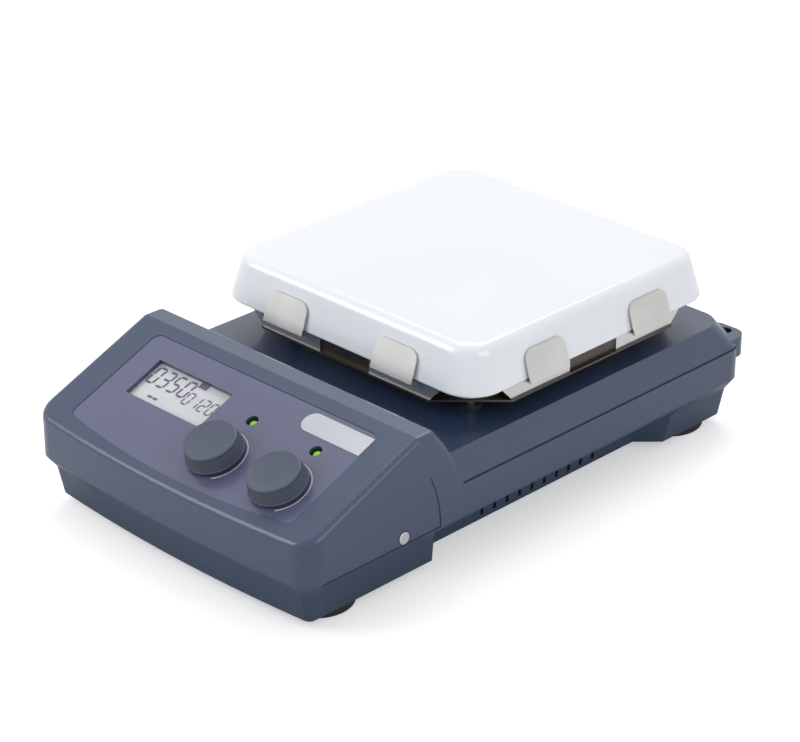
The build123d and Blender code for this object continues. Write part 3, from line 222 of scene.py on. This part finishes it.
SHELL = Finish("port_shell", (172, 174, 176), 0.35, 1.0, drift=0.06)
ROCKER_BLACK = Finish("rocker_black", (26, 26, 28), 0.25, drift=0.06, coat=0.3)


class Wardrobe:
    """Keeps each finish's material and puts it on nodes and pieces."""

    def __init__(self, nodes: Dict[str, bpy.types.Object]) -> None:
        """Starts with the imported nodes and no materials."""
        self.nodes = nodes
        self.made: Dict[str, bpy.types.Material] = {}

    def material(self, finish: Finish) -> bpy.types.Material:
        """The material of one finish, built at its first use."""
        if finish.name not in self.made:
            self.made[finish.name] = finish.build()
        return self.made[finish.name]

    def dress(self, finish: Finish, *names: str) -> None:
        """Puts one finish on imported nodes.

        Args:
            finish: the finish.
            names: the nodes' names.
        """
        for name in names:
            slots = self.nodes[name].data.materials
            slots.clear()
            slots.append(self.material(finish))
            log.info("node %s wears %s", name, finish.name)

    def piece(self, name: str, points: np.ndarray, faces: Sequence[Sequence[int]], finish: Finish,
              body: str, smooth: bool = True) -> bpy.types.Object:
        """Makes one new piece from points and faces and lets it ride on a body.

        Args:
            name: the piece's name.
            points: its points, one row each, in metres.
            faces: the point numbers of each face.
            finish: its finish.
            body: the body that it rides on.
            smooth: whether its faces are shaded as one curved surface.

        Returns:
            The new object.
        """
        mesh = bpy.data.meshes.new(name)
        mesh.from_pydata(points.tolist(), [], [list(face) for face in faces])
        mesh.update()
        if smooth:
            mesh.shade_smooth()
            mesh.set_sharp_from_angle(angle=math.radians(38))
        made = bpy.data.objects.new(name, mesh)
        bpy.context.scene.collection.objects.link(made)
        mesh.materials.append(self.material(finish))
        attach(made, body)
        log.info("piece %s has %d faces and rides on %s", name, len(faces), body)
        return made


@dataclass(frozen=True)
class SlopedPanel:
    """The console's sloped panel: u across, v down the slope and h above it, in millimetres."""

    tilt_deg: float = 22.17
    top_y: float = -94.0
    top_z: float = 87.0

    def axes(self) -> np.ndarray:
        """The directions of u, v and h as the rows of a matrix."""
        tilt = math.radians(self.tilt_deg)
        across = [1.0, 0.0, 0.0]
        down = [0.0, -math.cos(tilt), -math.sin(tilt)]
        above = [0.0, -math.sin(tilt), math.cos(tilt)]
        return np.array([across, down, above])

    def place(self, local: np.ndarray) -> np.ndarray:
        """Turns rows of u, v and h into points of the frame in metres.

        Args:
            local: rows of u, v and h in millimetres.

        Returns:
            Rows of x, y and z in metres.
        """
        return (local @ self.axes() + np.array([0.0, self.top_y, self.top_z])) * MM


PANEL = SlopedPanel()


def grid_faces(rows: int, columns: int, closed: bool) -> List[Tuple[int, int, int, int]]:
    """The four-sided faces of a grid of points.

    Args:
        rows: number of rows.
        columns: number of points in a row.
        closed: whether the last column joins the first.

    Returns:
        The faces, turned so that row by column points outwards for a profile that runs up.
    """
    steps = columns if closed else columns - 1
    row, column = np.meshgrid(np.arange(rows - 1), np.arange(steps), indexing="ij")
    here = row * columns + column
    beside = row * columns + (column + 1) % columns
    faces = np.stack([here, beside, beside + columns, here + columns], axis=-1)
    return [tuple(face) for face in faces.reshape(-1, 4).tolist()]


@dataclass
class Knob:
    """One turning knob with a dished top and a diamond knurl on its side."""

    name: str
    u: float
    v: float = 59.5
    bottom: float = 1.5
    top: float = 10.9
    radius: float = 16.5
    taper_deg: float = 12.4
    cavity_radius: float = 8.5
    cavity_top: float = 5.5
    bore_radius: float = 3.0
    bore_top: float = 8.7
    diamonds: int = 64
    diamond_height: float = 1.6
    knurl_depth: float = 0.5
    around: int = 672
    knurl_rows: int = 56
    knurl_start: float = 0.5
    knurl_stop: float = 1.2
    knurl_fade: float = 0.5
    centre_radius: float = 0.01
    lip_inset: float = 0.35
    lip_step: float = 0.08
    lip_height: float = 0.3
    edge: float = 0.7
    edge_steps: int = 6
    rim_step: float = 0.05
    dish_insets: Tuple[float, ...] = (1.2, 1.7, 2.4)
    dish_radii: Tuple[float, ...] = (8.0, 4.0)
    dish_depths: Tuple[float, ...] = (0.0, 0.05, 0.16, 0.3, 0.38, 0.4)

    def profile(self) -> Tuple[np.ndarray, np.ndarray, np.ndarray]:
        """The half section from the bore's end round the outside to the dished top.

        Returns:
            Radii, heights and the share of the knurl at each point.
        """
        inner_r = [
            self.centre_radius, self.bore_radius, self.bore_radius, self.cavity_radius, self.cavity_radius
        ]
        inner_h = [self.bore_top, self.bore_top, self.cavity_top, self.cavity_top, self.bottom]
        lip_r = [self.radius - self.lip_inset, self.radius - self.lip_step]
        lip_h = [self.bottom, self.bottom + self.lip_height]
        side_h = np.linspace(self.bottom + self.knurl_start, self.top - self.knurl_stop, self.knurl_rows)
        side_r = self.radius - (side_h - self.bottom) * math.tan(math.radians(self.taper_deg))
        turn = np.linspace(0.0, math.pi / 2, self.edge_steps)
        rim_base = side_r[-1] - self.rim_step
        edge_r = rim_base - self.edge + self.edge * np.cos(turn)
        edge_h = self.top - self.edge + self.edge * np.sin(turn)
        dish_edge = rim_base - np.array(self.dish_insets)
        dish_r = np.concatenate([dish_edge, self.dish_radii, [self.centre_radius]])
        dish_h = self.top - np.array(self.dish_depths)
        radii = np.concatenate([inner_r, lip_r, side_r, edge_r, dish_r])
        heights = np.concatenate([inner_h, lip_h, side_h, edge_h, dish_h])
        knurl = np.zeros_like(radii)
        start = len(inner_r) + len(lip_r)
        to_ends = np.minimum(side_h - side_h[0], side_h[-1] - side_h)
        fade = np.clip(to_ends / self.knurl_fade, 0.0, 1.0)
        knurl[start:start + self.knurl_rows] = fade
        return radii, heights, knurl

    def build(self, wardrobe: Wardrobe, body: str) -> None:
        """Makes the knob as a turned surface.

        The radius at angle a and height h is the profile's radius less the knurl depth times
        one minus the product of the sines of two crossed screw lines.

        Args:
            wardrobe: gives the material.
            body: the body that it rides on.
        """
        radii, heights, knurl = self.profile()
        angle = np.linspace(0.0, 2.0 * math.pi, self.around, endpoint=False)
        wave = angle[None, :] * self.diamonds / 2.0
        rise = heights[:, None] * math.pi / self.diamond_height
        ridge = np.abs(np.sin(wave + rise)) * np.abs(np.sin(wave - rise))
        radius = radii[:, None] - self.knurl_depth * knurl[:, None] * (1.0 - ridge)
        u = self.u + radius * np.cos(angle)[None, :]
        v = self.v - radius * np.sin(angle)[None, :]
        h = np.broadcast_to(heights[:, None], u.shape)
        points = PANEL.place(np.stack([u, v, h], axis=-1).reshape(-1, 3))
        faces: List[Sequence[int]] = list(grid_faces(len(radii), self.around, True))
        last = (len(radii) - 1) * self.around
        faces.append(list(range(self.around))[::-1])
        faces.append([last + i for i in range(self.around)])
        made = wardrobe.piece(self.name + "_knurled", points, faces, KNOB, body)
        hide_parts(self.name)


@dataclass
class PrintedRing:
    """The pale ring printed on the membrane round one knob, open at its lower left."""

    name: str
    u: float
    v: float = 59.5
    radius: float = 17.25
    wide: float = 0.85
    narrow: float = 0.5
    start_deg: float = 140.0
    end_deg: float = -54.0
    low: float = -0.31
    high: float = -0.25
    steps: int = 120

    def build(self, wardrobe: Wardrobe) -> None:
        """Makes the ring: a flat band whose width grows evenly along its arc.

        Args:
            wardrobe: gives the material.
        """
        angle = np.radians(np.linspace(self.start_deg, self.end_deg, self.steps))
        width = np.linspace(self.narrow, self.wide, self.steps)
        section_r = np.stack([-width / 2, width / 2, width / 2, -width / 2], axis=1) + self.radius
        section_h = np.array([self.low, self.low, self.high, self.high])
        u = self.u + section_r * np.cos(angle)[:, None]
        v = self.v - section_r * np.sin(angle)[:, None]
        h = np.broadcast_to(section_h[None, :], u.shape)
        points = PANEL.place(np.stack([u, v, h], axis=-1).reshape(-1, 3))
        faces: List[Sequence[int]] = list(grid_faces(self.steps, 4, True))
        last = (self.steps - 1) * 4
        faces.append([3, 2, 1, 0])
        faces.append([last, last + 1, last + 2, last + 3])
        wardrobe.piece(self.name, points, faces, PRINT, "base", smooth=False)


class Segment(Enum):
    """The seven bars of a digit as (across, down, upright) of each bar's middle."""

    TOP = (0.5, 0.0, False)
    UPPER_LEFT = (0.0, 0.25, True)
    UPPER_RIGHT = (1.0, 0.25, True)
    MIDDLE = (0.5, 0.5, False)
    LOWER_LEFT = (0.0, 0.75, True)
    LOWER_RIGHT = (1.0, 0.75, True)
    BOTTOM = (0.5, 1.0, False)


DIGITS: Dict[str, Tuple[Segment, ...]] = {
    "0": tuple(s for s in Segment if s is not Segment.MIDDLE),
    "1": (Segment.UPPER_RIGHT, Segment.LOWER_RIGHT),
    "2": (Segment.TOP, Segment.UPPER_RIGHT, Segment.MIDDLE, Segment.LOWER_LEFT, Segment.BOTTOM),
    "3": (Segment.TOP, Segment.UPPER_RIGHT, Segment.MIDDLE, Segment.LOWER_RIGHT, Segment.BOTTOM),
    "5": (Segment.TOP, Segment.UPPER_LEFT, Segment.MIDDLE, Segment.LOWER_RIGHT, Segment.BOTTOM),
    "8": tuple(Segment),
}


@dataclass(frozen=True)
class Number:
    """One number of the display: its digits, place, size and the bars' width."""

    text: str
    left: float
    top: float
    height: float
    width: float
    bar: float


@dataclass
class Display:
    """The numbers and plain marks that show under the display window."""

    face: float = -3.58
    thickness: float = 0.06
    pitch: float = 1.58
    slant: float = 0.12
    gap: float = 0.35
    numbers: Tuple[Number, ...] = (
        Number("0350", -68.8, 24.6, 11.6, 5.2, 1.5), Number("0120", -37.2, 30.8, 8.4, 3.9, 1.0)
    )
    marks: Tuple[Tuple[float, float, float, float], ...] = (
        (-36.4, 21.4, 6.4, 4.6), (-58.6, 43.2, 3.4, 1.6), (-54.4, 43.2, 3.4, 1.6)
    )

    def bars(self, number: Number) -> Tuple[np.ndarray, List[List[int]]]:
        """The bars of one number.

        Args:
            number: the digits with their place and size.

        Returns:
            Points and faces of six-sided flat bars with pointed ends.
        """
        left, top = number.left, number.top
        points: List[np.ndarray] = []
        faces: List[List[int]] = []
        for i, digit in enumerate(number.text):
            for segment in DIGITS[digit]:
                across, down, upright = segment.value
                length = (number.height / 2 if upright else number.width) - self.gap
                half, thin = length / 2, number.bar / 2
                outline = np.array(
                    [[-half, 0], [-half + thin, -thin], [half - thin, -thin], [half, 0],
                     [half - thin, thin], [-half + thin, thin]]
                )
                if upright:
                    outline = outline[:, ::-1] * np.array([1.0, -1.0])
                u = left + (i * self.pitch + across) * number.width + outline[:, 0]
                v = top + down * number.height + outline[:, 1]
                u = u + (number.height - (v - top)) * self.slant
                first = len(points) * 6
                low = np.stack([u, v, np.full(6, self.face)], axis=1)
                high = low + np.array([0.0, 0.0, self.thickness])
                points.extend([low, high])
                faces.append([first + k for k in range(6)])
                faces.append([first + 6 + k for k in range(6)][::-1])
                faces.extend([[first + k, first + 6 + k, first + 6 + (k + 1) % 6, first + (k + 1) % 6]
                              for k in range(6)])
        return np.concatenate(points), faces

    def build(self, wardrobe: Wardrobe) -> None:
        """Makes one piece for each number and each plain mark of the display."""
        for i, number in enumerate(self.numbers):
            points, faces = self.bars(number)
            wardrobe.piece(f"display_number_{i}", PANEL.place(points), faces, INK, "base", smooth=False)
        for i, mark in enumerate(self.marks):
            points, faces = self.block(*mark)
            wardrobe.piece(f"display_mark_{i}", PANEL.place(points), faces, INK, "base", smooth=False)

    def block(self, left: float, top: float, width: float,
              height: float) -> Tuple[np.ndarray, List[List[int]]]:
        """One plain flat block.

        Args:
            left: u of its left side.
            top: v of its top.
            width: its size across.
            height: its size down.

        Returns:
            The points and faces of a thin box.
        """
        right, bottom = left + width, top + height
        plan = np.array([[left, top], [right, top], [right, bottom], [left, bottom]])
        low = np.column_stack([plan, np.full(4, self.face)])
        high = low + np.array([0.0, 0.0, self.thickness])
        sides = [[k, 4 + k, 4 + (k + 1) % 4, (k + 1) % 4] for k in range(4)]
        return np.concatenate([low, high]), [[0, 1, 2, 3], [7, 6, 5, 4]] + sides


@dataclass
class Console:
    """The console: membrane, badge, display, lenses, printed rings and both knobs."""

    stir_u: float = 62.0
    heat_u: float = 14.0
    display: Display = field(default_factory=Display)

    def build(self, wardrobe: Wardrobe) -> None:
        """Dresses the console's nodes and adds its knobs, rings and digits."""
        wardrobe.dress(MEMBRANE, "membrane")
        wardrobe.dress(BADGE, "badge_plate")
        wardrobe.dress(WINDOW, "display_window")
        wardrobe.dress(DISPLAY_FACE, "display_module")
        wardrobe.dress(BOARD, "display_board")
        wardrobe.dress(LENS, "stir_lens", "heat_lens")
        wardrobe.dress(BLACK_PLASTIC, "stir_encoder", "heat_encoder")
        wardrobe.dress(MACHINED, "stir_shaft", "heat_shaft")
        wardrobe.dress(INNER_PLASTIC, "stir_plunger", "heat_plunger")
        wardrobe.dress(SCREW_STEEL, "knob_nuts", "display_screws")
        wardrobe.dress(KNOB, "stir_knob", "heat_knob")
        Knob("stir_knob", self.stir_u).build(wardrobe, "stir_turn")
        Knob("heat_knob", self.heat_u).build(wardrobe, "heat_turn")
        PrintedRing("stir_ring", self.stir_u).build(wardrobe)
        PrintedRing("heat_ring", self.heat_u).build(wardrobe)
        self.display.build(wardrobe)


@dataclass
class CaseShell:
    """The painted housing and tray with feet and screws."""

    def build(self, wardrobe: Wardrobe) -> None:
        """Dresses the shell's nodes."""
        wardrobe.dress(CASE_PAINT, "top_housing")
        wardrobe.dress(TRAY_PAINT, "base_tray")
        wardrobe.dress(RUBBER, "rubber_feet")
        wardrobe.dress(SCREW_STEEL, "foot_screws", "case_screws", "side_screws")


@dataclass
class HeatingTop:
    """The white plate cover with the heater, insulation, pan, clips and posts below it."""

    def build(self, wardrobe: Wardrobe) -> None:
        """Dresses the nodes of the heating plate."""
        wardrobe.dress(ENAMEL, "plate_cover")
        wardrobe.dress(ALLOY, "heater_plate")
        wardrobe.dress(ELEMENT, "heating_element")
        wardrobe.dress(INSULATION, "insulation_pad")
        wardrobe.dress(MACHINED, "temperature_sensor")
        wardrobe.dress(PAN_STEEL, "plate_pan")
        wardrobe.dress(CLIP_STEEL, "plate_clips")
        wardrobe.dress(POST_STEEL, "plate_posts")
        wardrobe.dress(COLLAR, "post_collars")
        wardrobe.dress(SCREW_STEEL, "post_nuts")


@dataclass
class Machinery:
    """The motor, the magnet drive and the boards inside the case."""

    def build(self, wardrobe: Wardrobe) -> None:
        """Dresses the nodes inside the case."""
        wardrobe.dress(MACHINED, "motor_standoffs", "motor_bearings", "drive_shaft")
        wardrobe.dress(ZINC, "motor_plate", "motor_can")
        wardrobe.dress(IRON, "stator_core", "motor_rotor", "transformer")
        wardrobe.dress(ALLOY, "magnet_yoke")
        wardrobe.dress(MAGNET, "drive_magnets")
        wardrobe.dress(BOARD, "main_board")
        wardrobe.dress(INNER_PLASTIC, "board_posts")
        wardrobe.dress(SLEEVE, "capacitors")
        wardrobe.dress(RELAY, "relay")
        wardrobe.dress(SINK, "heat_sink")


@dataclass
class RearFittings:
    """The rear panel with its inlet, fuse drawer, switch and sockets."""

    def build(self, wardrobe: Wardrobe) -> None:
        """Dresses the rear nodes."""
        wardrobe.dress(REAR_SHEET, "rear_panel")
        wardrobe.dress(SCREW_STEEL, "panel_screws")
        wardrobe.dress(BLACK_PLASTIC, "power_inlet", "fuse_drawer", "switch_body", "probe_socket")
        wardrobe.dress(BRASS, "inlet_pins")
        wardrobe.dress(FUSE_GLASS, "fuse")
        wardrobe.dress(ROCKER_BLACK, "rocker")
        wardrobe.dress(SHELL, "serial_port")


@dataclass(frozen=True)
class Lamp:
    """One square soft lamp: place and side in metres, power in watts."""

    name: str
    place: Tuple[float, float, float]
    size: float
    power: float

    def build(self, aim: Vector) -> None:
        """Puts up the lamp.

        Args:
            aim: what it points at.
        """
        data = bpy.data.lights.new(self.name, "AREA")
        data.shape = "SQUARE"
        data.size = self.size
        data.energy = self.power
        lamp = bpy.data.objects.new(self.name, data)
        place = Vector(self.place)
        lamp.location = place
        lamp.rotation_euler = (aim - place).to_track_quat("-Z", "Y").to_euler()
        bpy.context.scene.collection.objects.link(lamp)


@dataclass
class Studio:
    """Floor, backdrop, lamps and the camera at the photograph's angle."""

    lamps: Tuple[Lamp, ...] = (
        Lamp("key", (-0.7, 0.9, 2.0), 1.4, 19.0),
        Lamp("front", (-1.4, -1.8, 1.3), 1.4, 22.0),
        Lamp("side", (2.0, -0.1, 1.0), 1.2, 9.0),
    )
    aim: Tuple[float, float, float] = (0.0, 0.0, 0.06)
    floor_half: float = 6.0
    floor_tone: Tuple[float, float, float, float] = (0.82, 0.82, 0.83, 1.0)
    floor_roughness: float = 0.9
    floor_specular: float = 0.1
    floor_gain: float = 0.42
    fill_level: float = 0.64
    seen_level: float = 1.0
    camera_place: Tuple[float, float, float] = (0.9593, -0.9644, 0.7265)
    azimuth_deg: float = 44.853
    elevation_deg: float = 26.264
    roll_deg: float = -0.068
    focal_px: float = 2725.9
    image_width: float = 800.0
    sensor_mm: float = 36.0

    def floor(self) -> None:
        """A pale floor that keeps the shadow and looks white to the camera where it is lit."""
        half = self.floor_half
        mesh = bpy.data.meshes.new("floor")
        corners = [(-half, -half, 0.0), (half, -half, 0.0), (half, half, 0.0), (-half, half, 0.0)]
        mesh.from_pydata(corners, [], [(0, 1, 2, 3)])
        made = bpy.data.objects.new("floor", mesh)
        bpy.context.scene.collection.objects.link(made)
        material = bpy.data.materials.new("floor_white")
        material.use_nodes = True
        nodes, links = material.node_tree.nodes, material.node_tree.links
        shader = nodes["Principled BSDF"]
        shader.inputs["Base Color"].default_value = self.floor_tone
        shader.inputs["Roughness"].default_value = self.floor_roughness
        shader.inputs["Specular IOR Level"].default_value = self.floor_specular
        rays = nodes.new("ShaderNodeLightPath")
        gain = nodes.new("ShaderNodeMath")
        gain.operation = "MULTIPLY"
        gain.inputs[1].default_value = self.floor_gain
        links.new(rays.outputs["Is Camera Ray"], gain.inputs[0])
        shader.inputs["Emission Color"].default_value = (1.0, 1.0, 1.0, 1.0)
        links.new(gain.outputs["Value"], shader.inputs["Emission Strength"])
        mesh.materials.append(material)

    def world(self) -> None:
        """An even pale surrounding, white to the camera and in reflections."""
        world = bpy.data.worlds.new("studio")
        bpy.context.scene.world = world
        world.use_nodes = True
        nodes, links = world.node_tree.nodes, world.node_tree.links
        rays = nodes.new("ShaderNodeLightPath")
        level = nodes.new("ShaderNodeMapRange")
        level.inputs["To Min"].default_value = self.fill_level
        level.inputs["To Max"].default_value = self.seen_level
        seen = nodes.new("ShaderNodeMath")
        seen.operation = "MAXIMUM"
        links.new(rays.outputs["Is Camera Ray"], seen.inputs[0])
        links.new(rays.outputs["Is Glossy Ray"], seen.inputs[1])
        links.new(seen.outputs["Value"], level.inputs["Value"])
        background = nodes["Background"]
        background.inputs["Color"].default_value = (1.0, 1.0, 1.0, 1.0)
        links.new(level.outputs["Result"], background.inputs["Strength"])

    def camera(self) -> None:
        """The camera at the photograph's place, turned by azimuth, elevation and roll."""
        azimuth, elevation, roll = (
            math.radians(value) for value in (self.azimuth_deg, self.elevation_deg, self.roll_deg)
        )
        level = math.cos(elevation)
        back = Vector((math.sin(azimuth) * level, -math.cos(azimuth) * level, math.sin(elevation)))
        right = Vector((math.cos(azimuth), math.sin(azimuth), 0.0))
        up = back.cross(right)
        right_rolled = right * math.cos(roll) + up * math.sin(roll)
        up_rolled = up * math.cos(roll) - right * math.sin(roll)
        data = bpy.data.cameras.new("camera")
        data.sensor_width = self.sensor_mm
        data.lens = self.focal_px * self.sensor_mm / self.image_width
        camera = bpy.data.objects.new("camera", data)
        turned = Matrix((right_rolled, up_rolled, back)).transposed().to_4x4()
        camera.matrix_world = Matrix.Translation(self.camera_place) @ turned
        bpy.context.scene.collection.objects.link(camera)
        bpy.context.scene.camera = camera

    def build(self) -> None:
        """Sets up floor, surroundings, lamps and camera."""
        self.floor()
        self.world()
        for lamp in self.lamps:
            lamp.build(Vector(self.aim))
        self.camera()
        bpy.context.scene.view_settings.view_transform = "Standard"


def corners(bounds: Sequence[Sequence[float]]) -> List[List[float]]:
    """A box as plain lists of numbers."""
    return [[float(value) for value in corner] for corner in bounds]


def main() -> None:
    """Builds the looks in order."""
    logging.basicConfig(level=logging.INFO, format="%(name)s: %(message)s")
    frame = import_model()
    wardrobe = Wardrobe(frame["nodes"])
    for part in (CaseShell(), Console(), HeatingTop(), Machinery(), RearFittings()):
        part.build(wardrobe)
        log.info("%s is dressed", type(part).__name__)
    Studio().build()


if __name__ == "__main__":
    main()
